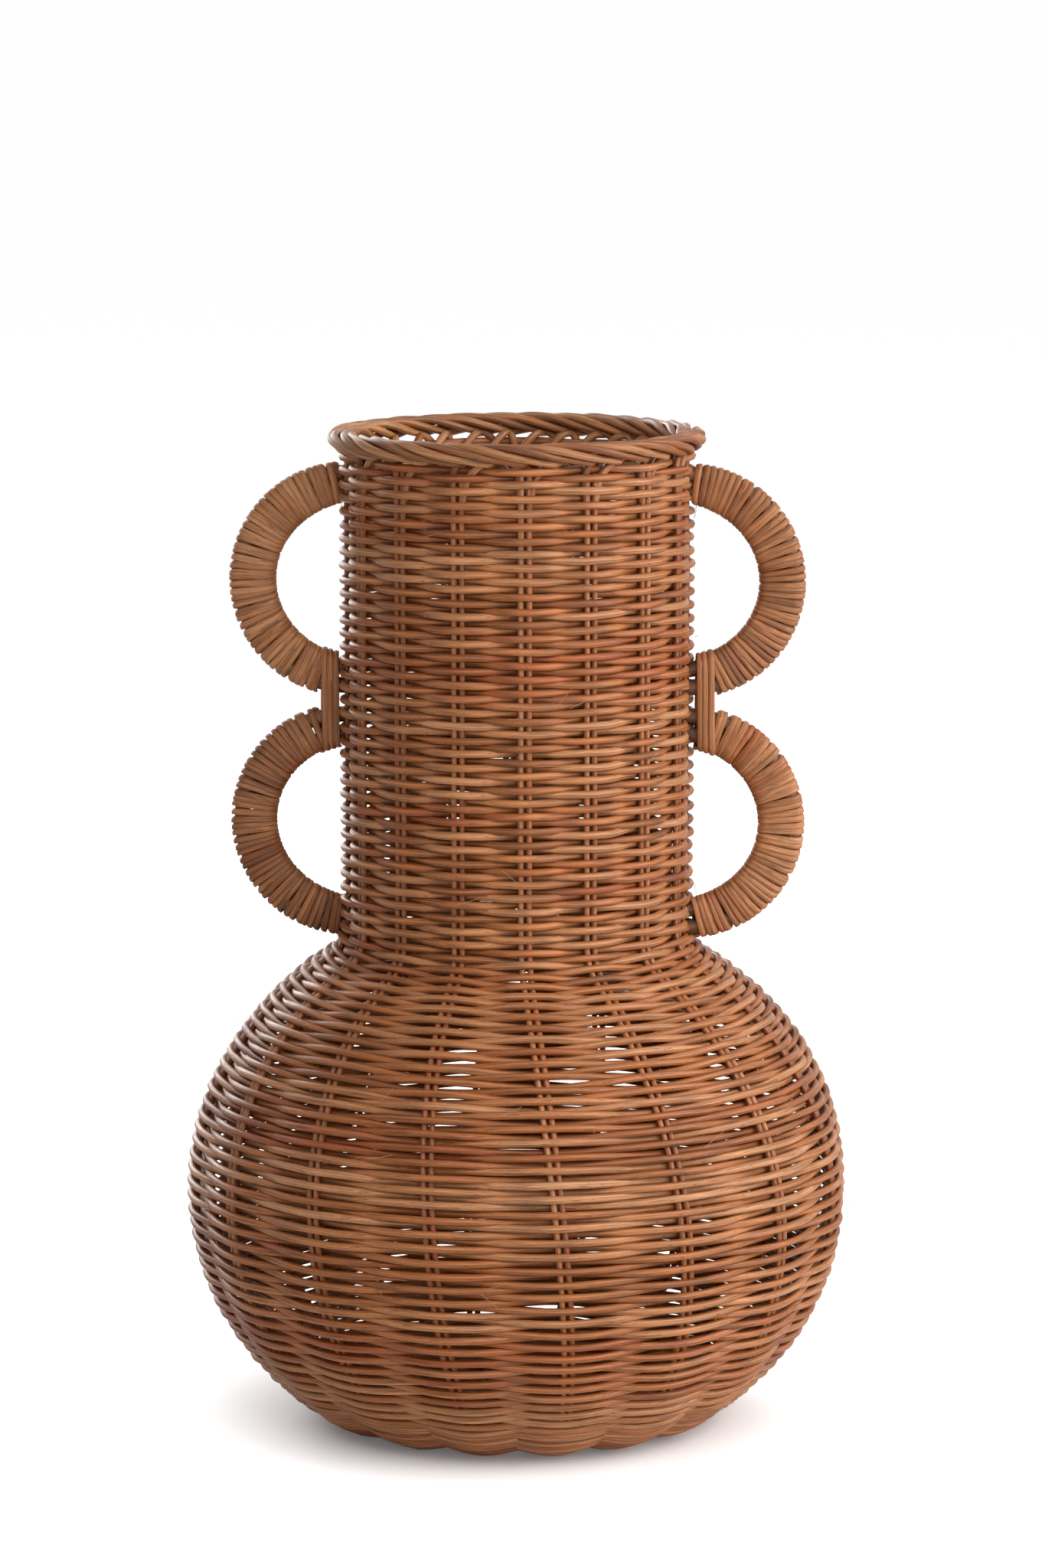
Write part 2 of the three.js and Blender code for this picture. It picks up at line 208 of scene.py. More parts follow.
class Graph:
    """A node tree under construction."""

    def __init__(self, tree: bpy.types.NodeTree) -> None:
        """Starts on a tree."""
        self.tree = tree

    def fill(self, node: bpy.types.Node, values: Mapping[Any, Any]) -> None:
        """Links or sets a node's inputs.

        Args:
            node: the node.
            values: by name or number of the input, a node for its first output, a socket, a plain value, or
                None to leave the input as it is.
        """
        for key, value in values.items():
            if isinstance(value, bpy.types.Node):
                value = next(output for output in value.outputs if output.enabled)
            if isinstance(value, bpy.types.NodeSocket):
                self.tree.links.new(value, node.inputs[key])
            elif value is not None:
                node.inputs[key].default_value = value

    def add(self, kind: str | Sum | Arrow, *inputs: Any, named: Mapping[Any, Any] | None = None,
            **settings: Any) -> bpy.types.Node:
        """Adds a node, sets it up and links it.

        Args:
            kind: Blender's name for the node, or the sum that it does.
            inputs: what goes into the sockets in order.
            named: what goes into sockets given by name or number.
            settings: values of the node's own properties.

        Returns:
            The new node.
        """
        if isinstance(kind, Enum):
            settings["operation"] = kind.name
            kind = SUM_NODES[type(kind)]
        node = self.tree.nodes.new(kind)
        for key, value in settings.items():
            setattr(node, key, value)
        self.fill(node, dict(enumerate(inputs)) | (named or {}))
        return node


class Rig:
    """A Geometry Nodes tree with named inputs, which turns a guide into a plain mesh of rods or strands."""

    def __init__(self, name: str, counts: Sequence[str] = (), numbers: Sequence[str] = ()) -> None:
        """Makes an empty tree with inputs for the guide, the finish and the skin.

        Args:
            name: the tree's name.
            counts: its other inputs that are whole numbers.
            numbers: its other inputs.
        """
        self.tree = bpy.data.node_groups.new(name, "GeometryNodeTree")
        kinds = {"Guide": Socket.SHAPE, "Finish": Socket.FINISH}
        kinds |= dict.fromkeys([*SKIN_COUNTS, *counts], Socket.COUNT)
        kinds |= dict.fromkeys([*SKIN_NUMBERS, *numbers], Socket.NUMBER)
        for key, kind in kinds.items():
            self.tree.interface.new_socket(key, in_out="INPUT", socket_type=kind.value)
        self.tree.interface.new_socket("Mesh", in_out="OUTPUT", socket_type=Socket.SHAPE.value)
        self.graph = Graph(self.tree)
        self.inputs = self.graph.add("NodeGroupInput").outputs

    def make(self, name: str, guide: bpy.types.Mesh, values: Mapping[str, Any]) -> bpy.types.Object:
        """Runs the tree on a guide.

        Args:
            name: the new object's name.
            guide: the mesh that the tree starts from.
            values: the tree's inputs by name.

        Returns:
            An object at the origin with a plain mesh and no modifier.
        """
        piece = new_object(name, guide)
        modifier = piece.modifiers.new(self.tree.name, "NODES")
        modifier.node_group = self.tree
        for socket in self.tree.interface.items_tree:
            if socket.in_out == "INPUT" and socket.name in values:
                modifier[socket.identifier] = values[socket.name]
        evaluated = piece.evaluated_get(bpy.context.evaluated_depsgraph_get())
        mesh = bpy.data.meshes.new_from_object(evaluated)
        mesh.name = name
        piece.modifiers.remove(modifier)
        piece.data = mesh
        bpy.data.meshes.remove(guide)
        return piece


def guide_mesh(lines: Sequence[np.ndarray], **values: Sequence[float]) -> bpy.types.Mesh:
    """Makes polylines into a mesh of edges for a tree to follow.

    Args:
        lines: the points of each polyline.
        values: numbers to keep on the points, by name.

    Returns:
        The mesh.
    """
    edges = []
    start = 0
    for line in lines:
        edges += [(start + at, start + at + 1) for at in range(len(line) - 1)]
        start += len(line)
    mesh = bpy.data.meshes.new("guide")
    mesh.from_pydata(np.concatenate(lines).tolist(), edges, [])
    for key, numbers in values.items():
        kept = mesh.attributes.new(key, "FLOAT", "POINT")
        kept.data.foreach_set("value", np.asarray(numbers, np.float32))
    return mesh


@dataclass(frozen=True)
class Streaks:
    """Noise drawn out along a strand: its size across and along, place, finer layers and limits."""

    width: float
    length: float
    shift: float
    detail: float
    low: float
    high: float


@dataclass(frozen=True)
class Rattan:
    """Rattan core or split cane: peeled, stained and dried, so matt, with fine fibres along each rod.

    The eye sees a warm brown that changes from rod to rod, thin darker fibre lines, redder stretches that run
    through lots of rows, and short dark flecks where the peel was left. Real fibres are finer than 0.2 mm,
    and are drawn coarser here so that they show.
    """

    name: str
    dark: str
    middle: str
    light: str
    red: str
    roughness: float = 0.43
    rough_fibre: float = 0.14
    gloss_fibre: float = -0.1
    ior: float = 1.45
    rod_radius: float = 1.5 * MM
    fibres: Streaks = Streaks(width=0.6 * MM, length=22 * MM, shift=0.0, detail=4.0, low=0.34, high=0.64)
    fibre_shades: tuple[float, float] = (0.38, 1.3)
    fibre_relief: float = 0.22 * MM
    fibre_strength: float = 0.7
    wear: tuple[float, float] = (0.3, 0.7)
    patches: Streaks = Streaks(width=6 * MM, length=160 * MM, shift=31.7, detail=2.0, low=1.02, high=1.26)
    red_share: float = 0.8
    flecks: Streaks = Streaks(width=0.9 * MM, length=5 * MM, shift=57.3, detail=1.0, low=0.67, high=0.76)
    fleck_share: float = 0.7
    tones: tuple[float, float, float] = (0.12, 0.5, 0.9)
    tone_shift: float = 9.0
    streak_roughness: float = 0.68

    def pattern(self, graph: Graph, streaks: Streaks) -> bpy.types.Node:
        """Adds the noise for streaks.

        Args:
            graph: the material's tree.
            streaks: what they are like.

        Returns:
            The noise.
        """
        add = graph.add
        tone = add(ATTRIBUTE, attribute_name="tone").outputs["Fac"]
        along = add(ATTRIBUTE, attribute_name="along").outputs["Fac"]
        ring = add(SPLIT, add(ATTRIBUTE, attribute_name="around").outputs["Vector"]).outputs
        run = add(Sum.MULTIPLY_ADD, along, 1 / streaks.length, streaks.shift)
        run = add(Sum.MULTIPLY_ADD, tone, self.tone_shift, run)
        across = self.rod_radius / streaks.width
        place = add(JOIN, add(Sum.MULTIPLY, ring["X"], across), add(Sum.MULTIPLY, ring["Y"], across), run)
        return add(NOISE, place, None, 1.0, streaks.detail, self.streak_roughness)

    def material(self) -> bpy.types.Material:
        """Builds the material from the strands' own attributes.

        Returns:
            The material.
        """
        material = bpy.data.materials.new(self.name)
        material.use_nodes = True
        graph = Graph(material.node_tree)
        add = graph.add
        kinds = (self.fibres, self.patches, self.flecks)
        fibres, patches, flecks = (self.pattern(graph, streaks) for streaks in kinds)
        ramp = add("ShaderNodeValToRGB", add(ATTRIBUTE, attribute_name="tone").outputs["Fac"])
        stops = ramp.color_ramp.elements
        stops.new(self.tones[1])
        for stop, place, colour in zip(stops, self.tones, (self.dark, self.middle, self.light)):
            stop.position = place
            stop.color = linear(colour)
        stain = add(Sum.ADD, patches, add(ATTRIBUTE, attribute_name="stain").outputs["Fac"])
        red = add(RANGE, stain, self.patches.low, self.patches.high, 0.0, self.red_share)
        blend = {FIRST_COLOUR: ramp, SECOND_COLOUR: linear(self.red)}
        colour = add(MIX, red, named=blend, data_type="RGBA")
        lines = add(RANGE, fibres, self.fibres.low, self.fibres.high, *self.fibre_shades)
        blend = {FIRST_COLOUR: colour, SECOND_COLOUR: lines}
        colour = add(MIX, 1.0, named=blend, data_type="RGBA", blend_type="MULTIPLY")
        spots = add(RANGE, flecks, self.flecks.low, self.flecks.high, 0.0, self.fleck_share)
        blend = {FIRST_COLOUR: colour, SECOND_COLOUR: linear(self.dark)}
        colour = add(MIX, spots, named=blend, data_type="RGBA")
        rough, gloss = self.roughness + self.rough_fibre, self.roughness + self.gloss_fibre
        graph.fill(material.node_tree.nodes["Principled BSDF"], {
            "Base Color": colour,
            "Roughness": add(RANGE, fibres, *self.wear, rough, gloss),
            "IOR": self.ior,
            "Normal": add("ShaderNodeBump", self.fibre_strength, self.fibre_relief, named={"Height": fibres}),
        })
        return material


FINISHES = {
    Slot.WEAVE: Rattan("round rattan core, woven", "#6a3312", "#a46231", "#c48f64", "#9c5024"),
    Slot.STAKE: Rattan("thin rattan core, stakes", "#6c3b1c", "#a8663a", "#c08659", "#9c5429"),
    Slot.RIM: Rattan("round rattan core, plaited", "#69381a", "#9b6438", "#ba8355", "#955026"),
    # Much darker than the other cane: painted shade, since these rods show only in the gaps between the wrap
    # turns
    Slot.HOOP: Rattan("bent cane", "#3d2414", "#66412a", "#8a6040", "#5f341e", rod_radius=3.5 * MM,
                      patches=replace(Rattan.patches, width=14 * MM)),
    Slot.WRAP: Rattan("split cane strand", "#714321", "#aa6e42", "#c28a5e", "#9c5528", roughness=0.5,
                      fibres=replace(Rattan.fibres, width=0.5 * MM, length=34 * MM), fibre_relief=0.3 * MM),
}


@dataclass(frozen=True)
class Skin:
    """What rods are like: finish, radius, how flat and ridged they are, and how thickness and colour vary."""

    slot: Slot
    radius: float
    sides: int = 8
    flatness: float = 1.0
    ridges: float = 0.0
    swell: float = 0.08
    tone: float = 0.5
    spread: float = 0.5
    drift: float = 120 * MM


@dataclass
class Wall:
    """The line down the middle of the woven wall, as in the solids: base, foot, body, shoulder and neck."""

    body_radius: float = 147 * MM
    body_half_height: float = 129.5 * MM
    body_centre_height: float = 107 * MM
    neck_radius: float = 78 * MM
    foot_radius: float = 83 * MM
    shoulder_fillet: float = 12 * MM
    foot_fillet: float = 14 * MM
    foot_flat: float = 14 * MM
    foot_rise: float = 12 * MM
    half_wall: float = 4 * MM
    rim_seat: float = 6 * MM
    lattice_height: float = 4 * MM
    # How finely the line is drawn
    step: float = 0.5 * MM
    fillet_points: int = 60

    def __post_init__(self) -> None:
        """Works out the line, as points of radius and height, and the lengths along it where parts meet."""
        width = self.body_radius - self.half_wall
        rise = self.body_half_height - self.half_wall
        sink = self.body_centre_height - self.half_wall
        drop = sink / math.sqrt(1 - (self.foot_radius / width) ** 2)
        start = self.foot_fillet / width - math.acos(self.foot_radius / width)
        self.neck = self.neck_radius - self.half_wall
        end = math.acos(self.neck / width) - self.shoulder_fillet / width
        rim_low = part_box("rim_border")[0].z
        self.weave_top = rim_low - self.lattice_height
        foot = np.array([self.foot_radius, self.half_wall])
        flat_end = foot - [self.foot_fillet, 0]
        edge = flat_end - [self.foot_flat, 0]
        shoulder_height = self.body_centre_height + rise * math.sqrt(1 - (self.neck / width) ** 2)
        shoulder = np.array([self.neck, shoulder_height])
        neck_start = shoulder + [0, self.shoulder_fillet]
        lower = self.arc(width, drop, start, 0.0)
        upper = self.arc(width, rise, 0.0, end)
        parts = [
            np.array([edge, flat_end]),
            self.fillet(flat_end, foot, lower[0]),
            lower,
            upper,
            self.fillet(upper[-1], shoulder, neck_start),
            np.array([neck_start, [self.neck, rim_low + self.rim_seat]]),
        ]
        self.points = np.concatenate([part[:-1] for part in parts[:-1]] + [parts[-1]])
        ends = np.cumsum([self.lengths(part)[-1] for part in parts]).tolist()
        _, self.body_start, _, _, self.body_end, top = ends
        self.foot_end = self.body_start + self.foot_rise
        self.weave_end = top - self.lattice_height - self.rim_seat

    def arc(self, width: float, height: float, start: float, end: float) -> np.ndarray:
        """Points on an ellipse about the body's centre, from one angle to another."""
        angles = np.linspace(start, end, int(width * abs(end - start) / self.step) + 2)
        return np.stack([width * np.cos(angles), self.body_centre_height + height * np.sin(angles)], axis=1)

    def fillet(self, start: np.ndarray, corner: np.ndarray, end: np.ndarray) -> np.ndarray:
        """Points on a curve that rounds a corner between two points."""
        share = np.linspace(0, 1, self.fillet_points)[:, None]
        return (1 - share) ** 2 * start + 2 * share * (1 - share) * corner + share ** 2 * end

    @staticmethod
    def lengths(points: np.ndarray) -> np.ndarray:
        """The length along a polyline at each of its points."""
        return np.concatenate([[0.0], np.cumsum(np.linalg.norm(np.diff(points, axis=0), axis=1))])

    def line(self, start: float = 0.0, end: float | None = None) -> np.ndarray:
        """The wall's line between two lengths along it.

        Args:
            start: where the line begins.
            end: where it ends, or None for the top.

        Returns:
            Points with radius in X and height in Z.
        """
        lengths = self.lengths(self.points)
        stop = lengths[-1] if end is None else end
        places = np.linspace(start, stop, int((stop - start) / self.step) + 2)
        radius = np.interp(places, lengths, self.points[:, 0])
        height = np.interp(places, lengths, self.points[:, 1])
        return np.stack([radius, np.zeros_like(radius), height], axis=1)


@dataclass
class Loom:
    """The finishes, the node trees that make the rods and strands, and how uneven the maker's hand is.

    Noise is read at places made of a length along a strand and a lane, which keeps strands apart. A lot is a
    group of neighbouring rows that share a stain.
    """

    # Colour and thickness along a strand and from strand to strand
    lane_step: float = 3.7
    drift_share: float = 1.5
    lot_share: float = 0.17
    lot_run: float = 0.2
    lot_level: float = 4.4
    lumps_per_metre: float = 70.0
    lump_level: float = 5.5
    ridge_count: float = 8.0
    # How rows sway, slip and hang slack, and the slope below which they wave least
    row_step: float = 0.16
    sway_scale: float = 2.4
    row_slip: float = 0.16
    slack_scale: float = 3.1
    slack_place: tuple[float, float, float] = (7.1, 3.3, 1.7)
    slack_limits: tuple[float, float] = (0.25, 0.75)
    slack_depths: tuple[float, float] = (0.86, 1.14)
    steep: float = 0.5
    # How rods bend, and how square a strand is wound
    stake_bends: float = 28.0
    stake_lane: float = 4.0
    rod_lane: float = 2.3
    wrap_scale: float = 0.9
    wrap_corner: float = 2.6

    def __post_init__(self) -> None:
        """Makes the materials and every tree once."""
        self.finishes = {slot: rattan.material() for slot, rattan in FINISHES.items()}
        self.rows = self.make_rows()
        self.stakes = self.make_stakes()
        self.rods = self.make_rods()
        self.winding = self.make_winding()

    def make(self, rig: Rig, name: str, node: str | None, guide: bpy.types.Mesh, skin: Skin, seed: int,
             first: int = 0, side: Side = Side.right, **values: float) -> None:
        """Makes a piece with one of the trees in its slot's finish, gives it its body, hides the solid that
        it stands for, and reports it.

        Args:
            rig: the tree.
            name: the piece's name.
            node: the solid that it stands for, if there is one.
            guide: what the tree starts from.
            skin: what the rods are like.
            seed: the fixed seed of their variation.
            first: the number of the first strand, where strands go on from another piece's.
            side: the side that a piece made for the right is turned to.
            values: the tree's own inputs.
        """
        own = vars(skin) | values | {"first": first, "seed": seed, "finish": self.finishes[skin.slot]}
        piece = rig.make(name, guide, {key.replace("_", " ").title(): value for key, value in own.items()})
        piece.data.transform(Matrix.Rotation(side.value, 4, "Z"))
        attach(piece, BODY)
        if node:
            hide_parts(node)
        log.info("%s: %d faces for %s", name, len(piece.data.polygons), node or "no solid")

    def dress(self, rig: Rig, curve: bpy.types.Node) -> Rig:
        """Ends a tree with the skin of rods or flat strands over its curves, as plain geometry in its finish.

        Args:
            rig: the tree.
            curve: the node that gives the curves.

        Returns:
            The tree, whose mesh carries tone, stain, along and around for the finish.
        """
        add, inputs = rig.graph.add, rig.inputs
        length = add(ALONG).outputs["Length"]
        strand = add(Sum.ADD, add(STRAND).outputs["Curve Index"], inputs["First"])
        pick = add("FunctionNodeRandomValue", named={"ID": strand, "Seed": inputs["Seed"]})
        lane = add(Sum.MULTIPLY_ADD, inputs["Seed"], self.lane_step, strand)
        # Colour, which drifts along a strand and changes from strand to strand and from lot to lot
        place = add(Sum.DIVIDE, length, inputs["Drift"])
        slow = add(Sum.SUBTRACT, add(NOISE, add(JOIN, place, lane), *ROUGH), MIDDLE)
        swing = add(Sum.MULTIPLY_ADD, slow, self.drift_share, pick)
        lot = add(Sum.MULTIPLY, lane, self.lot_share)
        run = add(Sum.MULTIPLY, place, self.lot_run)
        stain = add(NOISE, add(JOIN, lot, run, self.lot_level), *SMOOTH)
        tone = add(Sum.MULTIPLY_ADD, add(Sum.SUBTRACT, swing, stain), inputs["Spread"], inputs["Tone"])
        for key, value in {"tone": tone, "along": length, "stain": stain}.items():
            curve = add(STORE, curve, named={"Name": key, "Value": value})
        # Thickness, and the outline of a cut across the strand
        fine = add(Sum.MULTIPLY, length, self.lumps_per_metre)
        lump = add(NOISE, add(JOIN, fine, self.lump_level, lane), *SMOOTH)
        lump = add(Sum.SUBTRACT, add(Sum.ADD, lump, pick), 2 * MIDDLE)
        scale = add(Sum.MULTIPLY, add(Sum.MULTIPLY_ADD, lump, inputs["Swell"], 1.0), inputs["Radius"])
        profile = add(CIRCLE, named={"Resolution": inputs["Sides"], "Radius": 1.0})
        spot = add(POSITION)
        profile = add(STORE, profile, named={"Name": "around", "Value": spot}, data_type="FLOAT_VECTOR")
        flat = add(SPLIT, spot).outputs
        turn = add(Sum.MULTIPLY, add(Sum.ARCTAN2, flat["Y"], flat["X"]), self.ridge_count)
        reach = add(Sum.MULTIPLY_ADD, add(Sum.COSINE, turn), inputs["Ridges"], 1.0)
        deep = add(Sum.MULTIPLY, flat["X"], reach)
        wide = add(Sum.MULTIPLY, flat["Y"], inputs["Flatness"])
        profile = add(MOVE, profile, named={"Position": add(JOIN, deep, wide)})
        shape = add("GeometryNodeCurveToMesh", curve, profile, scale, True)
        shape = add("GeometryNodeRealizeInstances", shape)
        add("NodeGroupOutput", add("GeometryNodeSetMaterial", shape, named={"Material": inputs["Finish"]}))
        return rig

    def lean(self, rig: Rig, length: bpy.types.Node) -> bpy.types.Node:
        """Adds the angle of the stakes at a length along the wall: they lean in the body, not in the neck."""
        turn, lean, start, end = (rig.inputs[key] for key in STAKE_NUMBERS)
        return rig.graph.add(RANGE, length, start, end, rig.graph.add(Sum.ADD, turn, lean), turn)

    def make_rows(self) -> Rig:
        """Makes the tree for rows round the vase, each in front of one stake and behind the next.

        Returns:
            The tree, whose guide is the wall's line.
        """
        counts = ("Rows", "Rows Per Level", "First Row", "Steps", "Stakes")
        numbers = ("First Length", "Pitch", "Depth", "Slope Depth", "Split", "Waviness", "Top", "Tilt")
        rig = Rig("woven_rows", counts, numbers + STAKE_NUMBERS)
        add, inputs = rig.graph.add, rig.inputs
        wall = add(TO_CURVE, inputs["Guide"])
        ring = add(CIRCLE, named={"Resolution": inputs["Steps"], "Radius": 1.0})
        rows = add(COPY, ring, None, inputs["Rows"], domain="SPLINE")
        row = add(Sum.ADD, rows.outputs["Duplicate Index"], inputs["First Row"])
        away = add(POSITION)
        flat = add(SPLIT, away).outputs
        front = add(Sum.MULTIPLY, flat["Y"], -1.0)
        angle = add(Sum.ARCTAN2, flat["X"], front)
        # Where the row lies on the wall, with the maker's sway and the tilt of the top rows
        level = add(Sum.FLOOR, add(Sum.DIVIDE, rows.outputs["Duplicate Index"], inputs["Rows Per Level"]))
        even = add(Sum.MULTIPLY_ADD, level, inputs["Pitch"], inputs["First Length"])
        drift = add(Sum.MULTIPLY_ADD, row, self.row_step, inputs["Seed"])
        spot = add(JOIN, flat["X"], flat["Y"], drift)
        sway = add(NOISE, spot, *ROUGH, named={"Scale": self.sway_scale})
        sway = add(Sum.SUBTRACT, sway, MIDDLE)
        limits = {LEAST: -self.row_slip, MOST: self.row_slip}
        slip = add("FunctionNodeRandomValue", named={**limits, "ID": row, "Seed": inputs["Seed"]})
        length = add(Sum.MULTIPLY_ADD, add(Sum.ADD, sway, slip), inputs["Waviness"], even)
        rise = add(RANGE, even, inputs["Lean End"], inputs["Top"], 0.0, inputs["Tilt"])
        length = add(Sum.MULTIPLY_ADD, front, rise, length)
        # In front of one stake and behind the next
        turned = add(Sum.SUBTRACT, angle, self.lean(rig, length))
        wave = add(Sum.MULTIPLY, turned, add(Sum.DIVIDE, inputs["Stakes"], 2.0))
        phase = add(Sum.MULTIPLY_ADD, row, math.pi, wave)
        cross = add(Sum.ABSOLUTE, add(Sum.SINE, phase))
        odd = add(Sum.SUBTRACT, add(Sum.MODULO, row, 2.0), MIDDLE)
        part = add(Sum.MULTIPLY_ADD, add(Sum.MULTIPLY, cross, odd), inputs["Split"], length)
        place = add("GeometryNodeSampleCurve", wall, named={"Length": part}, mode="LENGTH").outputs
        spot = add(Arrow.ADD, spot, self.slack_place)
        slack = add(NOISE, spot, *SMOOTH, named={"Scale": self.slack_scale})
        slack = add(RANGE, slack, *self.slack_limits, *self.slack_depths)
        depth = add(Sum.MULTIPLY, add(Sum.MULTIPLY, add(Sum.COSINE, phase), inputs["Depth"]), slack)
        middle = add(SPLIT, place["Position"]).outputs
        slope = add(SPLIT, place["Tangent"]).outputs
        lie = add(RANGE, slope["Z"], self.steep, 1.0, inputs["Slope Depth"], 1.0)
        depth = add(Sum.MULTIPLY, depth, lie)
        radius = add(Sum.MULTIPLY_ADD, slope["Z"], depth, middle["X"])
        height = add(Sum.SUBTRACT, middle["Z"], add(Sum.MULTIPLY, slope["X"], depth))
        out = add(Arrow.SCALE, away, named={"Scale": radius})
        target = add(Arrow.ADD, out, add(JOIN, 0.0, 0.0, height))
        return self.dress(rig, add(MOVE, rows, named={"Position": target}))

    def make_stakes(self) -> Rig:
        """Makes the tree for a pair of rods up the wall, turned to a stake's place.

        Returns:
            The tree, whose guide is the wall's line.
        """
        rig = Rig("stake_rods", ("Points",), ("Start", "Spacing", "Proud", "Waviness") + STAKE_NUMBERS)
        add, inputs = rig.graph.add, rig.inputs
        wall = add(RESAMPLE, add(TO_CURVE, inputs["Guide"]), None, inputs["Points"])
        pair = add(COPY, wall, None, 2, domain="SPLINE")
        side = add(Sum.SUBTRACT, pair.outputs["Duplicate Index"], MIDDLE)
        run = add(ALONG).outputs["Length"]
        place = add(SPLIT, add(POSITION)).outputs
        lane = add(Sum.MULTIPLY_ADD, side, self.stake_lane, inputs["Seed"])
        spot = add(JOIN, add(Sum.MULTIPLY, run, self.stake_bends), lane)
        bend = add(SPLIT, add(NOISE, spot, *SMOOTH).outputs["Color"]).outputs
        sway = add(Sum.MULTIPLY, add(Sum.SUBTRACT, bend["X"], MIDDLE), inputs["Waviness"])
        across = add(Sum.MULTIPLY_ADD, side, inputs["Spacing"], sway)
        lean = self.lean(rig, add(Sum.ADD, run, inputs["Start"]))
        angle = add(Sum.ADD, add(Sum.DIVIDE, across, place["X"]), lean)
        push = add(Sum.SUBTRACT, bend["Y"], MIDDLE)
        push = add(Sum.MULTIPLY_ADD, push, inputs["Waviness"], inputs["Proud"])
        radius = add(Sum.ADD, push, place["X"])
        x = add(Sum.MULTIPLY, add(Sum.SINE, angle), radius)
        y = add(Sum.MULTIPLY, add(Sum.MULTIPLY, add(Sum.COSINE, angle), radius), -1.0)
        return self.dress(rig, add(MOVE, pair, named={"Position": add(JOIN, x, y, place["Z"])}))

    def make_rods(self) -> Rig:
        """Makes the tree for rods along lines, repeated round the vase and bent a little by hand.

        Returns:
            The tree, whose guide is the lines.
        """
        rig = Rig("bent_rods", ("Copies",), ("Waviness", "Bends"))
        add, inputs = rig.graph.add, rig.inputs
        copies = add(COPY, add(TO_CURVE, inputs["Guide"]), None, inputs["Copies"], domain="SPLINE")
        step = add(Sum.DIVIDE, math.tau, inputs["Copies"])
        turn = add(Sum.MULTIPLY, copies.outputs["Duplicate Index"], step)
        away = add("ShaderNodeVectorRotate", add(POSITION), named={"Angle": turn}, rotation_type="Z_AXIS")
        lane = add(Sum.MULTIPLY_ADD, add(STRAND).outputs["Curve Index"], self.rod_lane, inputs["Seed"])
        run = add(Sum.MULTIPLY, add(ALONG).outputs["Length"], inputs["Bends"])
        bend = add(NOISE, add(JOIN, run, lane), *SMOOTH).outputs["Color"]
        bend = add(Arrow.SUBTRACT, bend, (MIDDLE, MIDDLE, MIDDLE))
        bend = add(Arrow.SCALE, bend, named={"Scale": inputs["Waviness"]})
        return self.dress(rig, add(MOVE, copies, named={"Position": add(Arrow.ADD, away, bend)}))

    def make_winding(self) -> Rig:
        """Makes the tree for one unbroken flat strand wound round a pair of rods.

        Returns:
            The tree, whose guide is the line between the rods, with half their spacing as reach.
        """
        rig = Rig("wound_strand", ("Points",), ("Turns", "Reach", "Shingle", "Unevenness"))
        add, inputs = rig.graph.add, rig.inputs
        middle = add(TO_CURVE, inputs["Guide"])
        strand = add(RESAMPLE, add("GeometryNodeCurvePrimitiveLine"), None, inputs["Points"])
        turn = add(Sum.MULTIPLY, add(ALONG).outputs["Factor"], inputs["Turns"])
        uneven = add(NOISE, add(JOIN, turn, inputs["Seed"]), *SMOOTH, named={"Scale": self.wrap_scale})
        uneven = add(Sum.SUBTRACT, uneven, MIDDLE)
        part = add(Sum.MULTIPLY_ADD, uneven, inputs["Unevenness"], turn)
        named = {"Value": add("GeometryNodeInputNamedAttribute", "reach"),
                 "Factor": add(Sum.DIVIDE, part, inputs["Turns"])}
        place = add("GeometryNodeSampleCurve", middle, named=named, mode="FACTOR").outputs
        angle = add(Sum.MULTIPLY, turn, math.tau)
        cosine = add(Sum.COSINE, angle)
        sine = add(Sum.SINE, angle)
        side = add(Arrow.CROSS_PRODUCT, (0.0, 1.0, 0.0), place["Tangent"])
        end = add("ShaderNodeClamp", add(Sum.MULTIPLY, cosine, self.wrap_corner), -1.0, 1.0)
        end = add(Sum.MULTIPLY, end, place["Value"])
        x = add(Sum.MULTIPLY_ADD, cosine, inputs["Reach"], end)
        y = add(Sum.MULTIPLY, sine, inputs["Reach"])
        right = add(Arrow.ADD, place["Position"], add(Arrow.SCALE, side, named={"Scale": x}))
        target = add(Arrow.ADD, right, add(JOIN, 0.0, y, 0.0))
        out = add(Arrow.SCALE, side, named={"Scale": cosine})
        out = add(Arrow.ADD, out, add(JOIN, 0.0, sine, 0.0))
        tip = add(Arrow.SCALE, place["Tangent"], named={"Scale": inputs["Shingle"]})
        out = add(Arrow.NORMALIZE, add(Arrow.ADD, out, tip))
        curve = add("GeometryNodeSetCurveNormal", strand, named={"Normal": out}, mode="FREE")
        return self.dress(rig, add(MOVE, curve, named={"Position": target}))


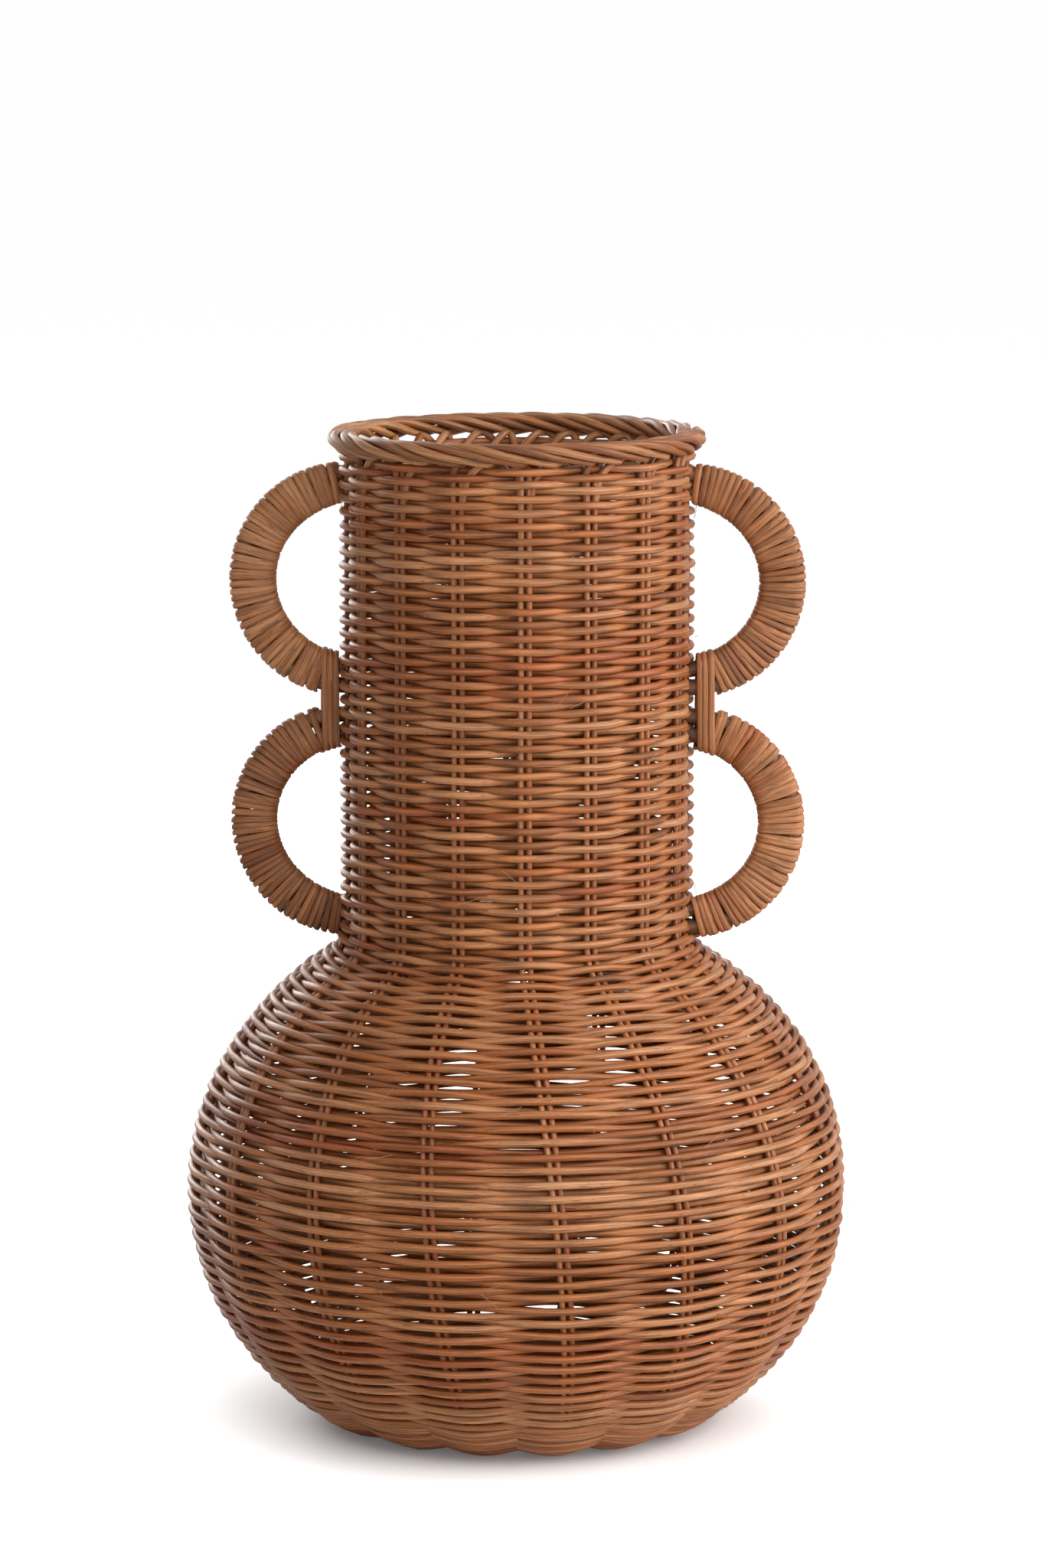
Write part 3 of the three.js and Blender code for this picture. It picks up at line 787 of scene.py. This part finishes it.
@dataclass
class Weave:
    """The woven wall: rows of round rod in lots, one for each band, and the tight bundle at the foot."""

    wall: Wall
    loom: Loom
    # Rows
    pitch: float = 2.98 * MM
    rod: Skin = Skin(Slot.WEAVE, 1.7 * MM, swell=0.13, tone=0.53, spread=0.34)
    depth: float = 2.8 * MM
    slope_depth: float = 0.64
    waviness: float = 2.0 * MM
    top_rise: float = 2.8 * MM
    tilt: float = 0.3 * MM
    # Stakes, with the turn of the first one and the lean down the body
    stakes: int = 16
    turn: float = math.radians(5.625)
    lean: float = math.radians(9)
    # Bands of each part of the wall, and points round a row there
    body_bands: int = 4
    neck_bands: int = 2
    body_steps: int = 176
    neck_steps: int = 144
    # The bundle at the foot
    foot_levels: int = 15
    foot_pitch: float = 2.7 * MM
    foot_split: float = 2.4 * MM
    foot_waviness: float = 0.5 * MM
    foot_tightness: float = 1.04
    # A lighter tone than the rows above: painted light, lifting the foot, which faces down and gets little
    # light
    foot_rod: Skin = Skin(Slot.WEAVE, 1.36 * MM, tone=0.58, spread=0.4)
    seed: int = 11

    def stake_values(self) -> dict[str, float]:
        """The inputs that place the stakes."""
        return {
            "stakes": self.stakes, "turn": self.turn, "lean": self.lean, "lean_start": self.wall.body_start,
            "lean_end": self.wall.body_end, "top": self.wall.weave_end, "tilt": self.tilt,
        }

    def lot(self, name: str, node: str, line: np.ndarray, skin: Skin, seed: int, **values: float) -> None:
        """Weaves a lot of rows.

        Args:
            name: the piece's name.
            node: the solid that it stands for.
            line: the line that the rows follow.
            skin: what the rods are like.
            seed: the fixed seed of their variation.
            values: the inputs for the rows, where they aren't the usual ones.
        """
        usual = {"rows_per_level": 1, "first_row": 0, "slope_depth": 1.0, "split": 0.0}
        values = self.stake_values() | usual | values
        self.loom.make(self.loom.rows, name, node, guide_mesh([line]), skin, seed, **values)

    def bundle(self) -> None:
        """Weaves the foot: two rows at each level, one over the even stakes and one over the odd ones."""
        self.lot(
            "foot_rows", "foot_band", self.wall.line(), self.foot_rod, self.seed + 1,
            rows=2 * self.foot_levels, rows_per_level=2, steps=self.neck_steps, pitch=self.foot_pitch,
            first_length=self.wall.foot_end - (self.foot_levels - 0.5) * self.foot_pitch,
            depth=self.wall.half_wall - self.foot_rod.radius * self.foot_tightness,
            split=self.foot_split, waviness=self.foot_waviness,
        )

    def band(self, part: str, number: int, low: float, high: float, steps: int) -> None:
        """Weaves the rows of one solid band.

        Args:
            part: the part of the wall that the band is in, as the solids name it.
            number: the band's number in that part, from below.
            low: where it starts along the wall.
            high: where it ends.
            steps: points round each row.
        """
        start = self.wall.foot_end
        first, last = (math.ceil((edge - start) / self.pitch - 0.5) for edge in (low, high))
        self.lot(
            f"{part}_rows_{number}", f"{part}_weave_{number}", self.wall.line(), self.rod, self.seed,
            first=first, rows=last - first, first_row=first, first_length=start + (first + 0.5) * self.pitch,
            pitch=self.pitch, steps=steps, depth=self.depth, slope_depth=self.slope_depth,
            waviness=self.waviness,
        )

    def build(self) -> None:
        """Weaves the foot and every band, with rows at an even pitch from the foot to the top."""
        self.bundle()
        wall = self.wall
        top = wall.weave_end + self.top_rise
        self.pitch = (top - wall.foot_end) / round((top - wall.foot_end) / self.pitch)
        for part, low, high, bands, steps in (
            ("body", wall.foot_end, wall.body_end, self.body_bands, self.body_steps),
            ("neck", wall.body_end, top, self.neck_bands, self.neck_steps),
        ):
            edges = np.linspace(low, high, bands + 1)
            for number in range(1, bands + 1):
                self.band(part, number, edges[number - 1], edges[number], steps)


@dataclass
class Stakes:
    """The upright pairs of thin rods that the rows are woven on."""

    weave: Weave
    rod: Skin = Skin(Slot.STAKE, 1.35 * MM, spread=0.4)
    spacing: float = 3.6 * MM
    proud: float = 0.6 * MM
    waviness: float = 0.9 * MM
    foot_edge: float = 4 * MM
    points: int = 150
    seed: int = 40

    def build(self) -> None:
        """Makes each stake's pair of rods."""
        weave, loom = self.weave, self.weave.loom
        for index in range(weave.stakes):
            number = f"{index + 1:02d}"
            guide = guide_mesh([weave.wall.line(self.foot_edge, weave.wall.weave_end)])
            values = weave.stake_values() | {"turn": weave.turn + math.tau * index / weave.stakes}
            loom.make(
                loom.stakes, f"stake_rods_{number}", f"stake_{number}", guide, self.rod, self.seed + index,
                points=self.points, start=self.foot_edge, spacing=self.spacing, proud=self.proud,
                waviness=self.waviness, **values,
            )


@dataclass
class RimBorder:
    """The stake tops turned down into a rolled border: each rod rises inside and goes over and down outside.

    A rod's path is a list of turns round the vase, radii and heights. The knee is where it leaves the weave,
    and the tail is its end, tucked back inside the neck.
    """

    weave: Weave
    rod: Skin = Skin(Slot.RIM, 1.7 * MM, sides=10, swell=0.12, tone=0.56, spread=0.55)
    # The roll over the top, round an oval
    width: float = 12 * MM
    height: float = 10.5 * MM
    overhang: float = 2.6 * MM
    roll_start: float = math.radians(236)
    roll_end: float = math.radians(-78)
    roll_points: int = 64
    advance: float = math.radians(68)
    proud: float = 0.95 * MM
    crown: float = math.radians(20)
    crown_spread: float = math.radians(145)
    outer_droop: float = 1.4 * MM
    inner_droop: float = 2.4 * MM
    # The rise out of the weave, and the tail
    root: float = 14 * MM
    knee: float = 2 * MM
    knee_share: float = 0.1
    rise_lean: float = math.radians(4)
    tail_run: float = math.radians(9)
    tail_share: float = 0.35
    tail_bend: tuple[float, float] = (-7.5 * MM, 0.6 * MM)
    tail_end: tuple[float, float] = (-9.6 * MM, -7 * MM)
    end_points: int = 8
    # The two rods of a pair, which open to an even spacing, and how they bend
    pair_start: float = 3.1 * MM
    pair_end: float = math.radians(10.4)
    pair_opens: float = 5.0
    smoothing: int = 6
    waviness: float = 1.3 * MM
    bends: float = 45.0
    seed: int = 70

    def over_top(self) -> np.ndarray:
        """The part of a rod's path that rolls over the top, from inside to outside.

        Returns:
            Points of turn, radius and height.
        """
        roll = np.linspace(self.roll_start, self.roll_end, self.roll_points)
        lift = self.proud * np.cos((roll - self.crown) * math.tau / self.crown_spread) - self.rod.radius
        droop = np.where(np.cos(roll) > 0, self.outer_droop, self.inner_droop)
        droop = droop * np.clip(-np.sin(roll), 0, 1)
        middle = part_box("rim_border")[0].z + self.height / 2
        return np.stack([
            self.rise_lean + self.advance * np.linspace(0, 1, self.roll_points),
            self.weave.wall.neck + self.overhang + (self.width / 2 + lift) * np.cos(roll),
            middle + (self.height / 2 + lift + droop) * np.sin(roll),
        ], axis=1)

    def strand(self, side: int) -> np.ndarray:
        """The middle of one rod of a stake's pair, from inside the weave to its tail inside the neck.

        Args:
            side: -1 for the left rod of the pair and 1 for the right one.

        Returns:
            The rod's points.
        """
        wall, count = self.weave.wall, self.end_points
        over = self.over_top()
        low = np.array([0.0, wall.neck, wall.weave_top - self.root])
        knee = np.array([self.knee_share * self.rise_lean, wall.neck, wall.weave_top - self.knee])
        bend = over[-1] + [self.tail_share * self.tail_run, *self.tail_bend]
        end = over[-1] + [self.tail_run, *self.tail_end]
        rise = [np.linspace(low, knee, count)[:-1], np.linspace(knee, over[0], count)[:-1]]
        tail = [np.linspace(over[-1], bend, count)[1:], np.linspace(bend, end, count)[1:]]
        path = np.concatenate([*rise, over, *tail])
        for _ in range(self.smoothing):
            path[1:-1] = (path[:-2] + 2 * path[1:-1] + path[2:]) / 4
        spread = np.clip(np.linspace(0, self.pair_opens, len(path)), 0, 1)
        start = side * self.pair_start / 2 / wall.neck
        angle = path[:, 0] + self.weave.turn + start + spread * (side * self.pair_end / 2 - start)
        return np.stack([path[:, 1] * np.sin(angle), -path[:, 1] * np.cos(angle), path[:, 2]], axis=1)

    def build(self) -> None:
        """Makes the whole border."""
        loom = self.weave.loom
        guide = guide_mesh([self.strand(-1), self.strand(1)])
        loom.make(
            loom.rods, "rim_plait", "rim_border", guide, self.rod, self.seed,
            copies=self.weave.stakes, waviness=self.waviness, bends=self.bends,
        )


@dataclass
class Base:
    """The underside: crossed sticks in two layers and the rows woven round them."""

    weave: Weave
    each_way: int = 4
    length: float = 70 * MM
    stick: Skin = Skin(Slot.STAKE, 0.9 * MM, sides=12, flatness=2.7, swell=0.06, tone=0.45)
    stick_points: int = 24
    stick_waviness: float = 0.4 * MM
    stick_bends: float = 40.0
    rod: Skin = Skin(Slot.WEAVE, 1.0 * MM, sides=6, tone=0.45)
    inner_radius: float = 16.4 * MM
    depth: float = 1.6 * MM
    pitch: float = 2.05 * MM
    waviness: float = 0.3 * MM
    steps: int = 112
    seed: int = 90

    def build(self) -> None:
        """Makes the sticks and the rows."""
        loom = self.weave.loom
        for index in range(2 * self.each_way):
            node = f"base_stick_{index + 1}"
            low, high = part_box(node)
            along = Vector((1, 0, 0)) if high.x - low.x > high.y - low.y else Vector((0, 1, 0))
            shares = np.linspace(-0.5, 0.5, self.stick_points)
            line = np.array([centre(node) + along * (self.length * share) for share in shares])
            loom.make(
                loom.rods, f"base_cross_{index + 1}", node, guide_mesh([line]), self.stick, self.seed + index,
                copies=1, waviness=self.stick_waviness, bends=self.stick_bends,
            )
        outer = self.weave.wall.line()[0, 0]
        height = centre("base_weave").z
        line = np.array([[self.inner_radius, 0, height], [outer, 0, height]])
        self.weave.lot(
            "base_rows", "base_weave", line, self.rod, self.seed,
            rows=int((outer - self.inner_radius) / self.pitch), first_length=0.5 * self.pitch,
            pitch=self.pitch, steps=self.steps, depth=self.depth, waviness=self.waviness,
        )


@dataclass
class Handles:
    """The wrapped half hoops on one side of the neck, and the lashing that ties them together."""

    weave: Weave
    side: Side
    # The two rods of a hoop
    outer_radius: float = 47.1 * MM
    rod_diameter: float = 7 * MM
    crown_gap: float = 3.6 * MM
    end_gap: float = 0.6 * MM
    closing: int = 4
    socket: float = 3 * MM
    rod: Skin = Skin(Slot.HOOP, 3.5 * MM, sides=12, swell=0.04)
    rod_points: int = 61
    rod_waviness: float = 0.5 * MM
    rod_bends: float = 25.0
    # The strand wound round them
    strand: Skin = Skin(Slot.WRAP, 0.8 * MM, sides=14, flatness=2.0, ridges=0.07, swell=0.28, spread=0.62,
                        drift=30 * MM)
    wrap_reach: float = 4.3 * MM
    wrap_to_lashing: float = 9.6 * MM
    wrap_turns: float = 45.0
    wrap_points: int = 121
    wrap_shingle: float = 0.3
    wrap_unevenness: float = 1.5
    turn_points: int = 18
    # The lashing
    lashing: Skin = Skin(Slot.WRAP, 0.85 * MM, sides=14, flatness=1.75, ridges=0.06, swell=0.12,
                         drift=40 * MM)
    lashing_turns: float = 3.0
    lashing_pitch: float = 2.5 * MM
    lashing_start: float = 4.0 * MM
    lashing_slack: float = 1.5 * MM
    lashing_points: int = 24
    lashing_shingle: float = 0.1
    lashing_unevenness: float = 0.3
    lashing_turn_points: int = 28
    # The first seed, and what is added to it
    seed: int = 120
    upper_seed: int = 10
    left_seed: int = 20
    lashing_seed: int = 50

    def inner_radius(self, angle: np.ndarray) -> np.ndarray:
        """The radius of the inner rod, which closes up to the outer rod towards its ends."""
        gap = self.crown_gap + (self.end_gap - self.crown_gap) * (angle / (math.pi / 2)) ** self.closing
        return self.outer_radius - self.rod_diameter - gap

    def arc(self, height: float, angles: np.ndarray, radius: np.ndarray) -> np.ndarray:
        """Points on a hoop in the XZ plane, at a height up the neck."""
        x = self.weave.wall.neck_radius - self.socket + radius * np.cos(angles)
        return np.stack([x, np.zeros_like(angles), height + radius * np.sin(angles)], axis=1)

    def build(self) -> None:
        """Makes both handles and the lashing."""
        heights = []
        for level in Level:
            heights.append(centre(f"hoop_{level.name}_outer_{self.side.name}").z)
            self.hoop(level, heights[-1])
        self.lash(*heights)

    def hoop(self, level: Level, height: float) -> None:
        """Makes one handle: two rods and the strand round them.

        Args:
            level: which one of the two.
            height: the height of the hoop's middle.
        """
        loom, end = self.weave.loom, f"{level.name}_{self.side.name}"
        seed = self.seed + (self.side is Side.left) * self.left_seed
        seed += (level is Level.upper) * self.upper_seed
        angles = np.linspace(-math.pi / 2, math.pi / 2, self.rod_points)
        radii = {"outer": np.full_like(angles, self.outer_radius), "inner": self.inner_radius(angles)}
        for offset, (rod, radius) in enumerate(radii.items()):
            tail = f"{level.name}_{rod}_{self.side.name}"
            guide = guide_mesh([self.arc(height, angles, radius)])
            loom.make(
                loom.rods, f"hoop_rod_{tail}", f"hoop_{tail}", guide, self.rod, seed + offset, side=self.side,
                copies=1, waviness=self.rod_waviness, bends=self.rod_bends,
            )
        inside = self.outer_radius - self.rod_diameter - self.end_gap - self.wrap_reach
        near = math.acos(self.socket / inside)
        far = math.acos(self.wrap_to_lashing / inside)
        low, high = (-near, far) if level is Level.lower else (-far, near)
        angles = np.linspace(low, high, self.wrap_points)
        middle = (self.outer_radius + self.inner_radius(angles)) / 2
        guide = guide_mesh([self.arc(height, angles, middle)], reach=self.outer_radius - middle)
        loom.make(
            loom.winding, f"wrap_strand_{end}", f"wrap_{end}", guide, self.strand, seed + len(radii),
            side=self.side, turns=self.wrap_turns, points=int(self.wrap_turns * self.turn_points),
            reach=self.wrap_reach, shingle=self.wrap_shingle, unevenness=self.wrap_unevenness,
        )

    def lash(self, lower: float, upper: float) -> None:
        """Ties the near ends of the two handles together, close to the neck.

        Args:
            lower: the height of the lower hoop's middle.
            upper: the height of the upper hoop's middle.
        """
        loom = self.weave.loom
        width = self.lashing_turns * self.lashing_pitch
        away = np.linspace(self.lashing_start, self.lashing_start + width, self.lashing_points)
        angle = np.arccos(away / (self.outer_radius - self.rod_diameter - self.end_gap))
        reach = (upper - lower) / 2 - self.inner_radius(angle) * np.sin(angle)
        x = self.weave.wall.neck_radius - self.socket + away
        line = np.stack([x, np.zeros_like(away), np.full_like(away, (lower + upper) / 2)], axis=1)
        seed = self.seed + self.lashing_seed + (self.side is Side.left)
        name = self.side.name
        loom.make(
            loom.winding, f"lashing_strand_{name}", f"lashing_{name}", guide_mesh([line], reach=reach),
            self.lashing, seed, side=self.side, turns=self.lashing_turns,
            points=int(self.lashing_turns * self.lashing_turn_points),
            reach=self.wrap_reach + self.lashing_slack, shingle=self.lashing_shingle,
            unevenness=self.lashing_unevenness,
        )


@dataclass
class LooseFibres:
    """Stray splinters that stand off the woven rods."""

    weave: Weave
    count: int = 90
    skin: Skin = Skin(Slot.WEAVE, 0.13 * MM, sides=4, tone=0.8, spread=0.4)
    margin: int = 20
    slant: float = 0.9
    lengths: tuple[float, float] = (5 * MM, 13 * MM)
    lifts: tuple[float, float] = (0.08, 0.25)
    curl: float = 1.6
    points: int = 7
    waviness: float = 1.2 * MM
    bends: float = 120.0
    seed: int = 5

    def splinter(self, draw: np.random.Generator, line: np.ndarray) -> np.ndarray:
        """Draws one splinter.

        Args:
            draw: the source of its place, heading and size.
            line: the stretch of the wall that it may stand on.

        Returns:
            Its points, from the root to the tip.
        """
        at = draw.integers(self.margin, len(line) - self.margin)
        radius, _, height = line[at]
        slope = line[at + 1] - line[at - 1]
        slope /= np.linalg.norm(slope)
        angle = draw.uniform(0, math.tau)
        away = np.array([math.sin(angle), -math.cos(angle), 0])
        across = np.array([math.cos(angle), math.sin(angle), 0])
        out = away * slope[2] + np.array([0, 0, -slope[0]])
        up = away * slope[0] + np.array([0, 0, slope[2]])
        root = away * radius + np.array([0, 0, height]) + out * self.weave.depth
        heading = draw.uniform(-self.slant, self.slant)
        run = across * math.cos(heading) * draw.choice([-1, 1]) + up * math.sin(heading)
        length = draw.uniform(*self.lengths)
        lift = draw.uniform(*self.lifts) * length
        share = np.linspace(0, 1, self.points)[:, None]
        return root + run * (length * share) + out * (self.weave.rod.radius + lift * share ** self.curl)

    def build(self) -> None:
        """Scatters the splinters over the body and the neck."""
        loom, wall = self.weave.loom, self.weave.wall
        draw = np.random.default_rng(self.seed)
        line = wall.line(wall.foot_end, wall.weave_end)
        lines = [self.splinter(draw, line) for _ in range(self.count)]
        loom.make(
            loom.rods, "loose_fibres", None, guide_mesh(lines), self.skin, self.seed,
            copies=1, waviness=self.waviness, bends=self.bends,
        )


@dataclass(frozen=True)
class Paper:
    """White seamless paper, which glows to the camera, and glows less close round the vase, where the dim
    ring is a painted contact shadow.
    """

    name: str = "white seamless paper"
    colour: str = "#f4f4f4"
    roughness: float = 0.9
    specular: float = 0.1
    glow: str = "#ffffff"
    # Radii in metres where the glow climbs from a dim painted contact shadow round the foot to the even white
    # of the rest of the floor
    glow_start: float = 0.085
    glow_end: float = 0.16
    near_glow: float = 0.1
    far_glow: float = 0.8

    def material(self) -> bpy.types.Material:
        """Builds the material.

        Returns:
            The material.
        """
        material = bpy.data.materials.new(self.name)
        material.use_nodes = True
        graph = Graph(material.node_tree)
        away = graph.add(Arrow.LENGTH, graph.add("ShaderNodeTexCoord").outputs["Object"])
        # Less glow close to the vase: a painted contact shadow on top of the floor's own shadow
        glow = graph.add(RANGE, away, self.glow_start, self.glow_end, self.near_glow, self.far_glow)
        seen = graph.add(LIGHT_PATH).outputs["Is Camera Ray"]
        graph.fill(material.node_tree.nodes["Principled BSDF"], {
            "Base Color": linear(self.colour),
            "Roughness": self.roughness,
            "Specular IOR Level": self.specular,
            "Emission Color": linear(self.glow),
            "Emission Strength": graph.add(Sum.MULTIPLY, seen, glow),
        })
        return material


@dataclass(frozen=True)
class Lamp:
    """A square soft box that faces the vase: degrees round from the front and up, metres, and watts."""

    name: str
    azimuth: float
    elevation: float
    distance: float
    size: float
    power: float

    def build(self) -> None:
        """Hangs the lamp and turns it to the middle of the vase."""
        data = bpy.data.lights.new(self.name, "AREA")
        data.energy = self.power
        data.size = self.size
        lamp = new_object(self.name, data)
        turn, up = math.radians(self.azimuth), math.radians(self.elevation)
        back = Vector((math.sin(turn) * math.cos(up), -math.cos(turn) * math.cos(up), math.sin(up)))
        lamp.location = Vector((0, 0, cad_high.z / 2)) + back * self.distance
        lamp.rotation_euler = back.to_track_quat("Z", "Y").to_euler()


@dataclass
class Studio:
    """A white floor, soft light mostly from the right, and the camera."""

    # Camera
    image_height: int = 2048
    focal_pixels: float = 7893.0
    sensor: float = 36.0
    distance: float = 2.645
    camera_height: float = 0.681
    aim_height: float = 0.286
    aim_right: float = 0.0024
    azimuth: float = math.radians(3)
    far_limit: float = 100.0
    # Light and floor
    ambient: float = 0.17
    lamps: tuple[Lamp, ...] = (
        Lamp("key", azimuth=74, elevation=22, distance=2.4, size=2.2, power=63),
        Lamp("fill", azimuth=14, elevation=32, distance=2.6, size=2.4, power=36),
        Lamp("edge", azimuth=-150, elevation=18, distance=2.2, size=1.2, power=26),
    )
    paper: Paper = Paper()
    floor_radius: float = 40.0
    floor_corners: int = 64

    def build(self) -> None:
        """Makes the stage, the lights and the camera."""
        self.world()
        self.floor()
        for lamp in self.lamps:
            lamp.build()
        self.camera()
        bpy.context.scene.view_settings.view_transform = "Standard"

    def world(self) -> None:
        """Makes white all round: full white where it is seen or mirrored, and dimmer where it lights."""
        world = bpy.data.worlds.new("studio")
        world.use_nodes = True
        bpy.context.scene.world = world
        graph = Graph(world.node_tree)
        rays = graph.add(LIGHT_PATH).outputs
        seen = graph.add(Sum.MAXIMUM, rays["Is Camera Ray"], rays["Is Glossy Ray"])
        strength = graph.add(RANGE, seen, 0.0, 1.0, self.ambient, 1.0)
        values = {"Color": linear("#ffffff"), "Strength": strength}
        graph.fill(world.node_tree.nodes["Background"], values)

    def floor(self) -> None:
        """Makes a wide round floor."""
        mesh = bpy.data.meshes.new("floor")
        turns = np.linspace(0, math.tau, self.floor_corners, endpoint=False)
        corners = [Vector((math.cos(turn), math.sin(turn), 0)) * self.floor_radius for turn in turns]
        mesh.from_pydata(corners, [], [list(range(len(corners)))])
        floor = new_object("floor", mesh)
        mesh.materials.append(self.paper.material())

    def camera(self) -> None:
        """Puts the camera where the photograph was taken."""
        data = bpy.data.cameras.new("camera")
        data.sensor_width = self.sensor
        data.lens = self.focal_pixels * self.sensor / self.image_height
        data.clip_end = self.far_limit
        camera = new_object("camera", data)
        towards = Vector((math.sin(self.azimuth), -math.cos(self.azimuth), 0))
        right = Vector((math.cos(self.azimuth), math.sin(self.azimuth), 0)) * self.aim_right
        camera.location = towards * self.distance + right + Vector((0, 0, self.camera_height))
        aim = right + Vector((0, 0, self.aim_height))
        camera.rotation_euler = (aim - camera.location).to_track_quat("-Z", "Y").to_euler()
        bpy.context.scene.camera = camera


def main() -> None:
    """Builds the vase from the foot up, with the studio round it."""
    logging.basicConfig(level=logging.INFO, format="%(name)s: %(message)s")
    Studio().build()
    weave = Weave(Wall(), Loom())
    weave.build()
    Stakes(weave).build()
    Base(weave).build()
    RimBorder(weave).build()
    for side in Side:
        Handles(weave, side).build()
    LooseFibres(weave).build()


if __name__ == "__main__":
    main()
